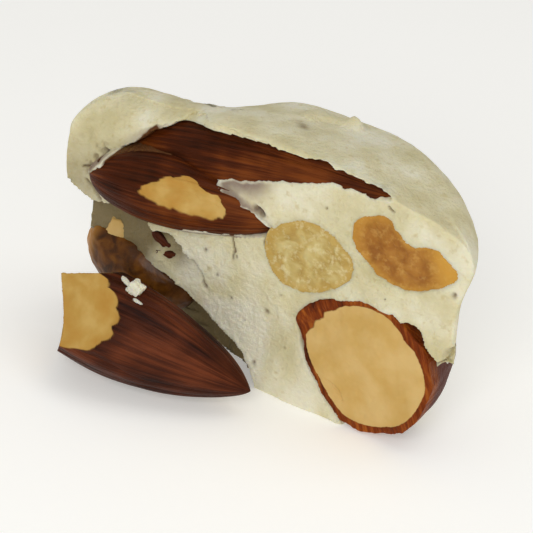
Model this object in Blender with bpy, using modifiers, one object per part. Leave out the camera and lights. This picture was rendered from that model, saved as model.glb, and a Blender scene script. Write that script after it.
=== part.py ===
"""Nut nougat: a cut piece of a round puck of white nougat, with its nuts.

The puck stood on its flat base and was cut from top to bottom beside its middle. The cut face looks
along -Y, X runs to the right along it and Z is up. Some nuts were cut through and lie flush with
the face, two whole almonds stay half bedded in it, and one broken almond has come out of its hollow
at the lower left and lies in front of it. All lengths in the tables are millimetres.
"""

import math

import bmesh
import bpy
import numpy as np
from mathutils import Matrix, Vector

MM = 0.001

# Driving dimensions of the puck and of the cut
PUCK_RADIUS = 20.4
PUCK_HEIGHT = 23.5
CUT_OFFSET = 7.0
TOP_ROUNDING = 3.8
FOOT_ROUNDING = 1.3
RIM_SEGMENTS = 96
BODY_VOXEL = 1.2

# The gap that each nut keeps to its socket and to its neighbours
GAP = 0.3

# The piece stands with the middle of its box over the origin
ORIGIN_SHIFT = (0.0, -1.65, 0.0)

# How far each form of the pressed nougat rises, sinks or stands out
DOME_RISE = 0.6
BACK_SLOPE = 3.4
LEFT_SAG = 1.3
RIGHT_SAG = 2.0
FOLD_DEPTH = 0.9
LEFT_LOBE = 0.9
RIGHT_LOBE = 0.9
LIP_ROUNDING = 4.2
FOOT_LIP = 0.7
FOOT_TUCK = 2.4
WALL_LUMPS = 0.28
FACE_LUMPS = 0.22

# Blunt end and tip of each almond, with its width and thickness and its roll about its length
ALMOND_TOP = {"blunt": (-15.8, 3.4, 17.6), "tip": (12.2, 0.9, 22.6), "width": 6.7, "thick": 5.4, "roll": 0}
ALMOND_SCRAPED = {"blunt": (-16.5, -1.0, 16.0), "tip": (3.2, 1.4, 16.8), "width": 6.5, "thick": 5.4, "roll": 8}
ALMOND_LOOSE = {"blunt": (-19.0, -7.4, 6.9), "tip": (3.0, -4.0, 2.65), "width": 9.6, "thick": 8.6, "roll": 0}
ALMOND_CORNER = {"blunt": (10.8, 10.0, 7.8), "tip": (13.2, -11.4, 5.0), "width": 13.2, "thick": 11.2, "roll": 48}

# The breaks of the loose almond, how deep the skin is scraped, how far cut nuts stand proud
LOOSE_BREAKS = (
    {"point": (-8.6, -8.7, 7.7), "normal": (-0.2, -0.78, 0.6)},
    {"point": (-14.7, -8.0, 5.6), "normal": (-0.88, -0.47, -0.07)},
    {"point": (-11.8, -6.0, 9.7), "normal": (-0.33, 0.37, 0.87)},
)
SCRAPE_DEPTH = 0.75
FLUSH = 0.15

NUT_PALE = {"centre": (5.1, 0.5, 15.0), "half": (3.9, 3.6, 3.5)}
NUT_ROASTED = {"centre": (13.2, 0.9, 17.0), "half": (4.9, 3.0, 2.5), "bend": 0.05, "turn": 10}
NUT_SIDE = {"centre": (-13.4, 3.7, 5.8), "half": (5.9, 3.1, 3.4), "bend": 0.01, "turn": 14}
NUT_REAR = {"centre": (-7.5, 10.2, 10.5), "half": (6.6, 3.3, 3.0), "bend": 0.06, "turn": 28}
NUT_CHIP = {"centre": (10.0, 9.4, 15.0), "half": (3.0, 2.6, 2.1), "bend": 0.03, "turn": -35}

# The torn opening before the top almond, the room round the corner almond, the hollow at the lower
# left and the torn recess above it
WINDOW = {"blunt": (-13.5, -0.4, 20.4), "tip": (14.4, -0.7, 25.0), "width": 4.2, "thick": 4.2, "roll": 0}
CORNER_ROOM = {"centre": (18.8, 1.2, 2.0), "half": (2.8, 5.4, 7.4)}
HOLLOW = {"centre": (-12.0, -0.2, 2.2), "half": (13.2, 6.2, 6.3), "turn": 14}
RECESS = {"centre": (-15.0, -0.7, 10.3), "half": (9.4, 3.1, 2.3), "turn": 16}


def smooth(low, high, value):
    """Runs from 0 at low to 1 at high, flat at both ends."""
    t = np.clip((value - low) / (high - low), 0.0, 1.0)
    return t * t * (3.0 - 2.0 * t)


def bump(value, centre, width):
    """A bell curve of height 1 and the given half width."""
    return np.exp(-(((value - centre) / width) ** 2))


def waves(x, y, z, scale):
    """Smooth lumps between about -1 and 1, made of sine waves that run in unlike directions."""
    u, v, w = x / scale, y / scale, z / scale
    return (
        np.sin(1.7 * u + 2.1 * np.sin(1.3 * v + 0.7))
        + np.sin(2.3 * v - 1.9 * np.sin(1.1 * w + 2.0))
        + np.sin(2.0 * w + 2.2 * np.sin(1.6 * u + 4.0))
    ) / 3.0


def nougat_form(x, y, z):
    """Turns the plain half puck into the hand-pressed piece.

    The top rises in a low dome, sags to the right and has a fold behind the left lobe. The front
    edge rolls over at the left, where the nougat tore. The wall is lumpy and its foot is squeezed
    out in a ragged lip, and the base stays flat.
    """
    top = smooth(0.35 * PUCK_HEIGHT, PUCK_HEIGHT, z)
    above = smooth(0.4, 3.0, z)
    rise = DOME_RISE * bump(x, -1.0, 13.0) * bump(y, 3.0, 5.0)
    slope = BACK_SLOPE * smooth(1.0, 12.0, y) * (0.15 + 0.85 * smooth(-1.0, -13.0, x))
    sag = RIGHT_SAG * smooth(6.5, 19.0, x) * (1.0 - 0.6 * smooth(2.0, 9.0, y))
    sag = sag + LEFT_SAG * smooth(-4.0, -12.0, x)
    fold = FOLD_DEPTH * bump(x + 0.15 * y, -8.6, 1.5) * smooth(1.0, 7.0, y)
    new_z = z + top * (rise - slope - sag - fold)
    corner = smooth(9.0, 17.0, x) * smooth(9.0, 2.0, y)
    new_z = new_z + FOOT_TUCK * corner * smooth(9.0, 0.0, z)

    radius = np.hypot(x, y + CUT_OFFSET)
    wall = smooth(0.72 * PUCK_RADIUS, 0.96 * PUCK_RADIUS, radius)
    angle = np.arctan2(y + CUT_OFFSET, x)
    ragged = 0.55 + 0.45 * np.sin(5.0 * angle + 1.3 * np.sin(11.0 * angle))
    push = WALL_LUMPS * waves(x, y, z, 5.5) * above + FOOT_LIP * ragged * bump(z, 0.6, 1.5)
    push = push + LEFT_LOBE * smooth(-9.0, -18.0, x) * bump(z, 16.5, 6.0)
    push = push + RIGHT_LOBE * smooth(4.0, 14.0, x) * smooth(15.0, 21.0, z)
    push = push - FOOT_TUCK * corner * smooth(7.0, 1.0, z)
    new_x = x * (1.0 + wall * push / radius)
    new_y = (y + CUT_OFFSET) * (1.0 + wall * push / radius) - CUT_OFFSET

    front = np.clip(1.0 - y / 13.0, 0.0, 1.0)
    depth = np.clip(z - (PUCK_HEIGHT - LIP_ROUNDING), 0.0, 0.96 * LIP_ROUNDING)
    roll = LIP_ROUNDING - np.sqrt(LIP_ROUNDING**2 - depth**2)
    left = smooth(-5.0, -9.5, x)
    swell = 0.9 * bump(x, 0.0, 4.0) * bump(z, 18.0, 2.5)
    dent = 0.5 * bump(x, 1.5, 3.0) * bump(z, 5.0, 4.0)
    skin = FACE_LUMPS * waves(x, z, y, 3.4) * above
    face = smooth(3.0, 0.0, y)
    new_y = new_y + front * left * roll + face * (dent + skin - swell)
    return new_x, new_y, new_z


def material(name, colour, roughness):
    """A plain surface: sRGB colour, roughness, no metal."""
    made = bpy.data.materials.new(name)
    made.use_nodes = True
    shader = made.node_tree.nodes["Principled BSDF"]
    linear = [c / 12.92 if c <= 0.04045 else ((c + 0.055) / 1.055) ** 2.4 for c in colour]
    shader.inputs["Base Color"].default_value = (*linear, 1.0)
    shader.inputs["Roughness"].default_value = roughness
    shader.inputs["Metallic"].default_value = 0.0
    made.diffuse_color = (*linear, 1.0)
    return made


def object_from(name, mesh_data, collection, parent):
    """Makes a named object from a bmesh, under the piece's empty."""
    mesh = bpy.data.meshes.new(name)
    mesh_data.to_mesh(mesh)
    mesh_data.free()
    made = bpy.data.objects.new(name, mesh)
    collection.objects.link(made)
    made.parent = parent
    return made


def applied(made):
    """Replaces the object's mesh by the mesh that its modifiers give."""
    bpy.context.view_layer.update()
    graph = bpy.context.evaluated_depsgraph_get()
    mesh = bpy.data.meshes.new_from_object(made.evaluated_get(graph))
    made.modifiers.clear()
    made.data = mesh
    return made


def slice_off(made, point, normal):
    """Cuts away what lies on the normal's side of a plane in the piece's frame, and closes the cut."""
    work = bmesh.new()
    work.from_mesh(made.data)
    inverse = made.matrix_basis.inverted()
    local_point = inverse @ (Vector(point) * MM)
    local_normal = (inverse.to_3x3() @ Vector(normal)).normalized()
    whole = work.verts[:] + work.edges[:] + work.faces[:]
    cut = bmesh.ops.bisect_plane(
        work, geom=whole, plane_co=local_point, plane_no=local_normal, clear_outer=True
    )
    rim = [e for e in cut["geom_cut"] if isinstance(e, bmesh.types.BMEdge)]
    bmesh.ops.holes_fill(work, edges=rim)
    bmesh.ops.triangulate(work, faces=work.faces[:])
    work.to_mesh(made.data)
    work.free()


def cut_by(made, cutters):
    """Takes each cutter out of the object, and keeps only the largest piece that is left."""
    for cutter in cutters:
        boolean = made.modifiers.new("cut_" + cutter.name, "BOOLEAN")
        boolean.operation = "DIFFERENCE"
        boolean.solver = "EXACT"
        boolean.object = cutter
    applied(made)
    work = bmesh.new()
    work.from_mesh(made.data)
    bmesh.ops.triangulate(work, faces=work.faces[:])
    bmesh.ops.remove_doubles(work, verts=work.verts[:], dist=0.00002)
    left = set(work.faces)
    groups = []
    while left:
        seed = left.pop()
        group, edge_faces = {seed}, [seed]
        while edge_faces:
            face = edge_faces.pop()
            for edge in face.edges:
                for other in edge.link_faces:
                    if other in left:
                        left.discard(other)
                        group.add(other)
                        edge_faces.append(other)
        groups.append(group)
    biggest = max(groups, key=len)
    scraps = [f for group in groups if group is not biggest for f in group]
    bmesh.ops.delete(work, geom=scraps, context="FACES")
    work.to_mesh(made.data)
    work.free()


def grown(made, cutters):
    """A cutter of the object's form, larger by the gap all round."""
    cutter = bpy.data.objects.new(made.name + "_socket", made.data.copy())
    cutters.objects.link(cutter)
    cutter.parent = made.parent
    cutter.matrix_basis = made.matrix_basis.copy()
    size = np.array(made.dimensions)
    cutter.scale = [1.0 + 2.0 * GAP * MM / side for side in size]
    return as_cutter(cutter)


def puck_body(collection, parent):
    """The half puck: a cylinder with rounded rims, cut beside its axis, then pressed by hand."""
    work = bmesh.new()
    bmesh.ops.create_cone(
        work,
        cap_ends=True,
        segments=RIM_SEGMENTS,
        radius1=PUCK_RADIUS * MM,
        radius2=PUCK_RADIUS * MM,
        depth=PUCK_HEIGHT * MM,
        matrix=Matrix.Translation((0.0, -CUT_OFFSET * MM, PUCK_HEIGHT * MM / 2)),
    )
    for height, rounding, steps in ((PUCK_HEIGHT, TOP_ROUNDING, 5), (0.0, FOOT_ROUNDING, 2)):
        rim = [e for e in work.edges if all(abs(v.co.z - height * MM) < 1e-6 for v in e.verts)]
        bmesh.ops.bevel(
            work, geom=rim, offset=rounding * MM, segments=steps, profile=0.5, affect="EDGES"
        )
    body = object_from("nougat", work, collection, parent)
    slice_off(body, (0.0, 0.0, 0.0), (0.0, -1.0, 0.0))
    remesh = body.modifiers.new("even_faces", "REMESH")
    remesh.mode = "VOXEL"
    remesh.voxel_size = BODY_VOXEL * MM
    applied(body)
    count = len(body.data.vertices)
    flat = np.empty(count * 3)
    body.data.vertices.foreach_get("co", flat)
    x, y, z = (flat.reshape(count, 3) / MM).T
    new = np.stack(nougat_form(x, y, z), axis=1)
    flat_base = (z < 0.3) & (new[:, 2] < 0.5)
    new[flat_base, 2] = 0.0
    body.data.vertices.foreach_set("co", (new * MM).ravel())
    body.data.update()
    return body


def round_form(name, half, bend, collection, parent, rings, sides):
    """An ellipsoid along X, bent upwards at its ends, as nut halves and cashews are."""
    work = bmesh.new()
    bmesh.ops.create_uvsphere(
        work, u_segments=sides, v_segments=rings, radius=1.0, matrix=Matrix.Rotation(math.pi / 2, 4, "Y")
    )
    for vert in work.verts:
        x, y, z = vert.co.x * half[0], vert.co.y * half[1], vert.co.z * half[2]
        dent = 0.06 * math.sin(3.0 * x + 1.0) * math.cos(2.0 * z)
        vert.co = Vector((x, y * (1.0 + dent), z * (1.0 - dent) + bend * x * x)) * MM
    return object_from(name, work, collection, parent)


def nut(name, sizes, collection, parent, rings=14, sides=18):
    """A round form set at its centre and turned about Y."""
    made = round_form(name, sizes["half"], sizes.get("bend", 0.0), collection, parent, rings, sides)
    made.location = Vector(sizes["centre"]) * MM
    made.rotation_euler = (0.0, math.radians(sizes.get("turn", 0.0)), 0.0)
    bpy.context.view_layer.update()
    return made


def almond(name, sizes, collection, parent, rings=18, sides=20):
    """An almond along X: a round end, the widest part near it and a long taper to the tip."""
    blunt, tip = Vector(sizes["blunt"]), Vector(sizes["tip"])
    length = (tip - blunt).length
    round_power, tip_power = 0.5, 0.78
    widest = round_power / (round_power + tip_power)
    peak = widest**round_power * (1.0 - widest) ** tip_power
    work = bmesh.new()
    bmesh.ops.create_uvsphere(
        work, u_segments=sides, v_segments=rings, radius=1.0, matrix=Matrix.Rotation(math.pi / 2, 4, "Y")
    )
    for vert in work.verts:
        along = (vert.co.x + 1.0) / 2.0
        ring = math.hypot(vert.co.y, vert.co.z)
        if ring < 1e-5:
            vert.co = Vector((vert.co.x * length / 2.0, 0.0, 0.0)) * MM
            continue
        swell = along**round_power * (1.0 - along) ** tip_power / peak / ring
        vert.co = Vector(
            (
                vert.co.x * length / 2.0,
                vert.co.y * swell * sizes["thick"] / 2.0,
                vert.co.z * swell * sizes["width"] / 2.0,
            )
        ) * MM
    made = object_from(name, work, collection, parent)
    long_axis = (tip - blunt).normalized()
    thin_axis = Vector((0.0, 1.0, 0.0))
    if abs(long_axis.y) > 0.9:
        thin_axis = Vector((1.0, 0.0, 0.0))
    thin_axis = (thin_axis - thin_axis.dot(long_axis) * long_axis).normalized()
    wide_axis = long_axis.cross(thin_axis)
    turn = Matrix((long_axis, thin_axis, wide_axis)).transposed().to_4x4()
    roll = Matrix.Rotation(math.radians(sizes["roll"]), 4, "X")
    made.matrix_basis = Matrix.Translation((blunt + tip) / 2.0 * MM) @ turn @ roll
    bpy.context.view_layer.update()
    return made


def as_cutter(made):
    """Marks an object as a cutter, which no render or export shows."""
    made.hide_render = True
    made.display_type = "WIRE"
    return made


def build():
    """Builds every piece, cuts the sockets, and gives each piece its material."""
    for old in list(bpy.data.objects):
        bpy.data.objects.remove(old, do_unlink=True)
    piece = bpy.data.collections.new("nut_nougat")
    cutters = bpy.data.collections.new("cutters")
    bpy.context.scene.collection.children.link(piece)
    bpy.context.scene.collection.children.link(cutters)
    middle = bpy.data.objects.new("middle", None)
    middle.location = Vector(ORIGIN_SHIFT) * MM
    piece.objects.link(middle)
    bpy.context.view_layer.update()

    body = puck_body(piece, middle)
    top = almond("almond_top", ALMOND_TOP, piece, middle)
    scraped = almond("almond_scraped", ALMOND_SCRAPED, piece, middle)
    corner = almond("almond_corner", ALMOND_CORNER, piece, middle)
    loose = almond("almond_loose", ALMOND_LOOSE, piece, middle)
    pale = nut("nut_pale", NUT_PALE, piece, middle)
    roasted = nut("nut_roasted", NUT_ROASTED, piece, middle)
    side = nut("nut_side", NUT_SIDE, piece, middle)
    rear = nut("nut_rear", NUT_REAR, piece, middle)
    chip = nut("nut_chip", NUT_CHIP, piece, middle)

    bedded = (top, scraped, corner, loose, pale, roasted, side, rear, chip)
    sockets = {made.name: grown(made, cutters) for made in bedded}
    window = as_cutter(almond("window", WINDOW, cutters, middle))
    hollow = as_cutter(nut("hollow", HOLLOW, cutters, middle, 16, 24))
    recess = as_cutter(nut("recess", RECESS, cutters, middle, 16, 24))
    corner_room = as_cutter(nut("corner_room", CORNER_ROOM, cutters, middle, 16, 24))

    for made in (corner, pale, roasted):
        slice_off(made, (0.0, -FLUSH, 0.0), (0.0, -1.0, 0.0))
    for cut in LOOSE_BREAKS:
        slice_off(loose, cut["point"], cut["normal"])
    front = scraped.matrix_basis @ Vector((0.0, -ALMOND_SCRAPED["thick"] / 2.0 * MM, 0.0)) / MM
    slice_off(scraped, front + Vector((0.0, SCRAPE_DEPTH, 0.0)), (0.1, -1.0, 0.1))

    cut_by(body, [*sockets.values(), window, hollow, recess, corner_room])
    cut_by(top, [sockets["almond_scraped"]])
    cut_by(pale, [sockets["almond_scraped"]])
    cut_by(side, [sockets["almond_loose"]])

    finishes = {
        "nougat_body": (material("nougat_body", (0.93, 0.90, 0.75), 0.55), (body,)),
        "almond_skin": (material("almond_skin", (0.36, 0.19, 0.11), 0.5), (top, loose)),
        "almond_kernel": (material("almond_kernel", (0.80, 0.69, 0.44), 0.5), (corner, scraped)),
        "pale_nut": (material("pale_nut", (0.79, 0.72, 0.49), 0.6), (pale, chip)),
        "roasted_nut": (material("roasted_nut", (0.65, 0.46, 0.22), 0.5), (roasted, rear, side)),
    }
    for finish, pieces in finishes.values():
        for made in pieces:
            made.data.materials.clear()
            made.data.materials.append(finish)
            made.data.shade_smooth()
            made.data.set_sharp_from_angle(angle=math.radians(40))


build()
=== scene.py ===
# %% [markdown]
# # A cut piece of nut nougat
#
# White nougat is beaten egg white, honey and sugar, cooked until it sets, with whole nuts stirred
# in. This piece is half of a small round puck. One side is the cut face, where nougat and nuts were
# cut or torn through, and the rest is the smooth, hand-pressed outside of the puck.
#
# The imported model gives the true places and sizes. Every piece is then made again at a finer scale,
# as a surface worked out with numpy, because torn nougat and wrinkled almond skin need relief that
# is finer than a tenth of a millimetre.

import math

import bmesh
import bpy
import numpy as np
from mathutils import Matrix, Vector


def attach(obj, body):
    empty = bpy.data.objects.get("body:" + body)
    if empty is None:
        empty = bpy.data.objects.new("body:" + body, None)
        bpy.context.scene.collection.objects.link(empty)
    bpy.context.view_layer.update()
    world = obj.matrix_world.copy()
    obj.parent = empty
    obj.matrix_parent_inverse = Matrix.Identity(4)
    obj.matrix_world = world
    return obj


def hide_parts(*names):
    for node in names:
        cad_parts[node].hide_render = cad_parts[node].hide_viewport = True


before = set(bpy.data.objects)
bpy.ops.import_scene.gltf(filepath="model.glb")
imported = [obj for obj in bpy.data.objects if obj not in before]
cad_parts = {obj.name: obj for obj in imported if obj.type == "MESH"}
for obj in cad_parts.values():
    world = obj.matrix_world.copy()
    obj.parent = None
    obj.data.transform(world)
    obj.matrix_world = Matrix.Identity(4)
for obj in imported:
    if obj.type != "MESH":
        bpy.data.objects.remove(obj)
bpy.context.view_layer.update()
MM = 0.001

# %% [markdown]
# ## The working frame
#
# The nougat was measured in its own frame: the cut face is the plane y = 0, the puck's axis stands
# behind that plane's front, and z starts at the base. All tables and formulas below use it, in
# millimetres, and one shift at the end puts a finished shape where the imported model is.

# %% Sizes of the puck and of the cut
PUCK_RADIUS = 20.4
PUCK_HEIGHT = 23.5
CUT_OFFSET = 7.0
SHIFT = np.array([0.0, -1.65, 0.0])

# The camera looks from the right and from above, so what lies deeper appears further right and up
VIEW_AZIMUTH = math.radians(28.0)
VIEW_ELEVATION = math.radians(29.0)
SEEN_RIGHT = math.tan(VIEW_AZIMUTH)
SEEN_UP = math.tan(VIEW_ELEVATION) / math.cos(VIEW_AZIMUTH)
half_chord = math.sqrt(PUCK_RADIUS**2 - CUT_OFFSET**2)
print("cut face:", round(2 * half_chord, 1), "by", PUCK_HEIGHT, "mm")

# %% [markdown]
# ## The camera
#
# The camera stands in front of the cut face, a little to its right and above it, and is rolled a few
# degrees, as a hand-held camera is. A long lens keeps the sides nearly parallel.

# %% Camera
CAMERA_ROLL = math.radians(6.0)
CAMERA_DISTANCE = 230.0
CAMERA_AIM = (1.15, -1.65, 12.5)
LENS = 182.5
SENSOR = 36.0
CLIP_NEAR, CLIP_FAR = 0.001, 5.0


def place_camera():
    """Puts the camera on a straight line from its aim, at the view's azimuth and elevation."""
    away = Vector((
        math.sin(VIEW_AZIMUTH) * math.cos(VIEW_ELEVATION),
        -math.cos(VIEW_AZIMUTH) * math.cos(VIEW_ELEVATION),
        math.sin(VIEW_ELEVATION),
    ))
    lens = bpy.data.cameras.new("camera")
    lens.lens, lens.sensor_width = LENS, SENSOR
    lens.clip_start, lens.clip_end = CLIP_NEAR, CLIP_FAR
    camera = bpy.data.objects.new("camera", lens)
    bpy.context.scene.collection.objects.link(camera)
    aim = Vector(CAMERA_AIM) * MM
    turn = away.to_track_quat("Z", "Y").to_matrix().to_4x4() @ Matrix.Rotation(CAMERA_ROLL, 4, "Z")
    camera.matrix_world = Matrix.Translation(aim + away * CAMERA_DISTANCE * MM) @ turn
    bpy.context.scene.camera = camera
    return camera


camera = place_camera()
print("camera at", [round(v / MM) for v in camera.matrix_world.translation], "mm")

# %% [markdown]
# ## Helpers for soft shapes
#
# Food has no straight lines, so nearly every form here is a smooth step, a bell-shaped bump, or
# noise. A smooth step fades one form into another, and a bump raises or dents one place.

# %% Smooth steps and bumps
TINY = 1e-9


def smooth(low, high, value):
    """Runs from 0 at low to 1 at high, flat at both ends: 3t^2 - 2t^3."""
    t = np.clip((value - low) / (high - low), 0.0, 1.0)
    return t * t * (3.0 - 2.0 * t)


def bump(value, centre, width):
    """A bell curve of height 1: e to the power of minus the squared distance in widths."""
    return np.exp(-(((value - centre) / width) ** 2))


def waves(x, y, z, scale):
    """Smooth lumps between about -1 and 1: three sine waves, each bent by another."""
    u, v, w = x / scale, y / scale, z / scale
    return (
        np.sin(1.7 * u + 2.1 * np.sin(1.3 * v + 0.7))
        + np.sin(2.3 * v - 1.9 * np.sin(1.1 * w + 2.0))
        + np.sin(2.0 * w + 2.2 * np.sin(1.6 * u + 4.0))
    ) / 3.0


print("halfway up a smooth step:", float(smooth(0.0, 2.0, 1.0)))

# %% [markdown]
# The noise is a grid of random numbers, read between its points with a smooth curve, as a
# material's noise texture does. It has a seed, so each run gives the same piece.

# %% Noise
LATTICE = 24


def noise(x, y, z, cell, seed):
    """Noise between -1 and 1 whose lumps are about cell mm wide, blended from 8 lattice points."""
    table = np.random.default_rng(seed).uniform(-1.0, 1.0, (LATTICE, LATTICE, LATTICE))
    p = np.stack(np.broadcast_arrays(x, y, z), axis=-1) / cell
    base = np.floor(p).astype(int)
    t = p - base
    t = t * t * (3.0 - 2.0 * t)
    total = np.zeros(p.shape[:-1])
    for corner in np.ndindex(2, 2, 2):
        weight = np.prod(np.where(corner, t, 1.0 - t), axis=-1)
        i, j, k = np.moveaxis((base + corner) % LATTICE, -1, 0)
        total += weight * table[i, j, k]
    return total


def rough(x, y, z, cell, seed, layers=3):
    """Layers of noise, each with half the size and half the height of the one before."""
    return sum(noise(x, y, z, cell / 2**n, seed + n) / 2**n for n in range(layers)) / 1.5


sample = rough(np.linspace(0, 40, 4000), 1.0, 2.0, 1.5, 1)
print("noise runs from", round(sample.min(), 2), "to", round(sample.max(), 2))

# %% [markdown]
# ## Outlines
#
# Where a nut shows in the cut face, the nougat ends along a closed line. Each line is written as a
# few points on the face, joined by a smooth closed curve. The signed distance to that curve, below
# zero inside, tells every point of a surface how far it is from the nougat's edge. Edges, stains
# and thin places all follow from that one number.

# %% Closed curves and the distance to them
def closed_curve(points, steps=10):
    """A smooth curve: between two points, a cubic whose slope at each point is set by its neighbours."""
    p = np.asarray(points, float)
    before, after, beyond = np.roll(p, 1, 0), np.roll(p, -1, 0), np.roll(p, -2, 0)
    t = (np.arange(steps) / steps)[None, :, None]
    a, b, c, d = before[:, None], p[:, None], after[:, None], beyond[:, None]
    curve = 0.5 * (2 * b + (c - a) * t + (2 * a - 5 * b + 4 * c - d) * t**2 + (3 * b - 3 * c + d - a) * t**3)
    return curve.reshape(-1, 2)


def segment_distance(x, z, start, end):
    """Distance from (x, z) to a straight segment, by the share of its length where it is nearest."""
    (x0, z0), (dx, dz) = start, np.subtract(end, start)
    t = np.clip(((x - x0) * dx + (z - z0) * dz) / (dx * dx + dz * dz), 0.0, 1.0)
    return np.hypot(x - x0 - t * dx, z - z0 - t * dz)


def line_distance(x, z, points):
    """Distance from (x, z) to an open line of points."""
    best = math.inf
    for start, end in zip(points[:-1], points[1:]):
        best = np.minimum(best, segment_distance(x, z, start, end))
    return best


def signed_distance(x, z, points):
    """Distance from (x, z) to a closed curve, negative inside.

    A point is inside where a line from it to the right crosses the curve an odd number of times.
    """
    curve = closed_curve(points)
    crossings = np.zeros(np.shape(x), int)
    for (x0, z0), (x1, z1) in zip(curve, np.roll(curve, -1, 0)):
        spans = (z0 > z) != (z1 > z)
        crossings += spans & (x < x0 + (z - z0) * (x1 - x0) / ((z1 - z0) or TINY))
    away = line_distance(x, z, np.concatenate([curve, curve[:1]]))
    return np.where(crossings % 2, -away, away)


print("from the point (1, 3) to the line y = 0:", float(line_distance(1.0, 3.0, [(0, 0), (2, 0)])))

# %% [markdown]
# The lines below were read off the piece: for each nut, where the nougat's edge runs round it, as
# points (x, z) on the cut face. A torn edge has many short stretches, and a cut one has few.

# %% Where each nut shows in the cut face
TOP_SHOWS = [
    (-16.2, 15.6), (-13.9, 18.6), (-12.4, 19.9), (-10.0, 21.8), (-8.0, 23.0), (-5.4, 23.6),
    (-0.3, 23.6), (5.1, 23.6), (8.4, 23.3), (11.9, 22.8), (10.6, 22.4), (8.3, 22.5), (5.3, 22.2),
    (2.1, 21.3), (-1.6, 20.2), (-4.3, 19.3), (-6.5, 17.5), (-10.0, 16.0), (-14.5, 15.0),
]
SCRAPED_SHOWS = [
    (-16.8, 14.3), (-16.4, 15.9), (-13.8, 18.3), (-12.6, 19.6), (-10.5, 21.0), (-7.0, 21.0),
    (-5.0, 20.1), (-4.1, 18.8), (-2.8, 17.9), (-0.9, 17.5), (1.0, 16.8), (2.0, 16.4), (1.2, 15.5),
    (-2.1, 14.7), (-5.0, 14.5), (-9.6, 12.9), (-13.1, 12.6), (-15.4, 13.2),
]
PALE_SHOWS = [
    (1.1, 13.9), (1.4, 15.9), (2.5, 17.2), (4.1, 18.0), (6.1, 18.0), (7.6, 17.1), (9.0, 16.0),
    (9.1, 14.5), (8.0, 12.9), (5.8, 11.7), (3.4, 11.5), (2.0, 12.4),
]
ROASTED_SHOWS = [
    (8.9, 18.9), (9.5, 20.1), (10.9, 20.8), (12.1, 20.8), (12.9, 20.0), (14.2, 19.2), (16.1, 19.5),
    (17.4, 19.0), (18.5, 18.1), (18.2, 17.1), (16.7, 16.0), (14.6, 15.2), (12.6, 15.3), (10.6, 16.3),
    (9.3, 17.5),
]
CORNER_SHOWS = [
    (5.0, 7.2), (4.9, 8.5), (5.2, 9.5), (6.2, 10.5), (7.8, 11.5), (10.3, 12.4), (11.6, 12.5),
    (13.0, 12.2), (13.5, 12.4), (14.2, 11.8), (15.1, 12.1), (16.3, 11.5), (16.7, 10.5), (17.6, 9.9),
    (18.3, 9.6), (18.8, 11.0), (21.0, 11.5), (21.5, 3.0), (20.0, -0.8), (12.0, -0.8), (9.6, 0.8),
    (6.1, 4.7),
]
print("roasted nut's outline has", len(closed_curve(ROASTED_SHOWS)), "points on its curve")

# %% [markdown]
# ## Turning a grid into a mesh
#
# Each piece is a function of two parameters, worked out for a whole grid of points at once. This
# helper joins neighbouring points with quads, closes the grid round, and welds the rows that have
# shrunk to one point, so that the shape is closed. Extra numbers for each point, such as how bare
# or how stained it is, go along as named attributes that the materials read.

# %% Finishing a mesh and tying it to the frame
WELD_WITHIN, FLAT_UNDER = 2e-6, 1e-6


def finish_piece(name, mesh, replaces=()):
    """Welds doubled points, turns the faces outwards, shades smooth and ties the piece to the frame."""
    work = bmesh.new()
    work.from_mesh(mesh)
    bmesh.ops.remove_doubles(work, verts=work.verts[:], dist=WELD_WITHIN)
    bmesh.ops.dissolve_degenerate(work, edges=work.edges[:], dist=FLAT_UNDER)
    bmesh.ops.recalc_face_normals(work, faces=work.faces[:])
    work.to_mesh(mesh)
    triangles = sum(len(face.verts) - 2 for face in work.faces)
    open_edges = sum(1 for edge in work.edges if len(edge.link_faces) != 2)
    work.free()
    mesh.shade_smooth()
    made = bpy.data.objects.new(name, mesh)
    bpy.context.scene.collection.objects.link(made)
    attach(made, "root")
    if replaces:
        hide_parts(*replaces)
    print(name, triangles, "triangles,", open_edges, "open edges")
    return made


# %% [markdown]
# The points and faces go into the mesh as whole arrays with foreach_set, which is far quicker than
# adding them one by one.

# %% Mesh from a grid of points
def grid_piece(name, points, fields, replaces=()):
    """Joins a grid (rows, columns, 3) into a closed mesh: columns wrap round, end rows are welded."""
    rows, columns = points.shape[:2]
    index = np.arange(rows * columns).reshape(rows, columns)
    right = np.roll(index, -1, axis=1)
    quads = np.stack([index[:-1], right[:-1], right[1:], index[1:]], axis=-1).reshape(-1, 4)
    flat = (points.reshape(-1, 3) + SHIFT) * MM
    mesh = bpy.data.meshes.new(name)
    mesh.vertices.add(len(flat))
    mesh.vertices.foreach_set("co", flat.astype(np.float32).ravel())
    mesh.loops.add(quads.size)
    mesh.loops.foreach_set("vertex_index", quads.astype(np.int32).ravel())
    mesh.polygons.add(len(quads))
    mesh.polygons.foreach_set("loop_start", np.arange(0, quads.size, 4, dtype=np.int32))
    mesh.update(calc_edges=True)
    for field, values in fields.items():
        kind, part = ("FLOAT_VECTOR", "vector") if values.ndim == 3 else ("FLOAT", "value")
        made = mesh.attributes.new(field, kind, "POINT")
        made.data.foreach_set(part, values.astype(np.float32).ravel())
    return finish_piece(name, mesh, replaces)


print("meshes are made in metres from millimetres, times", MM)

# %% [markdown]
# ## The almond's form
#
# An almond is round at one end, widest near that end, and tapers to a point. Its half width along
# its length follows t^0.5 (1 - t)^0.78. The skin has fine ridges that run from the point to the round
# end, so the ring's radius also varies with the angle round the almond, and the ridges wander a
# little along the way.

# %% Almond surface
ROUND_POWER, TIP_POWER = 0.5, 0.78
WIDEST = ROUND_POWER / (ROUND_POWER + TIP_POWER)
WIDEST_VALUE = WIDEST**ROUND_POWER * (1.0 - WIDEST) ** TIP_POWER


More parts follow.
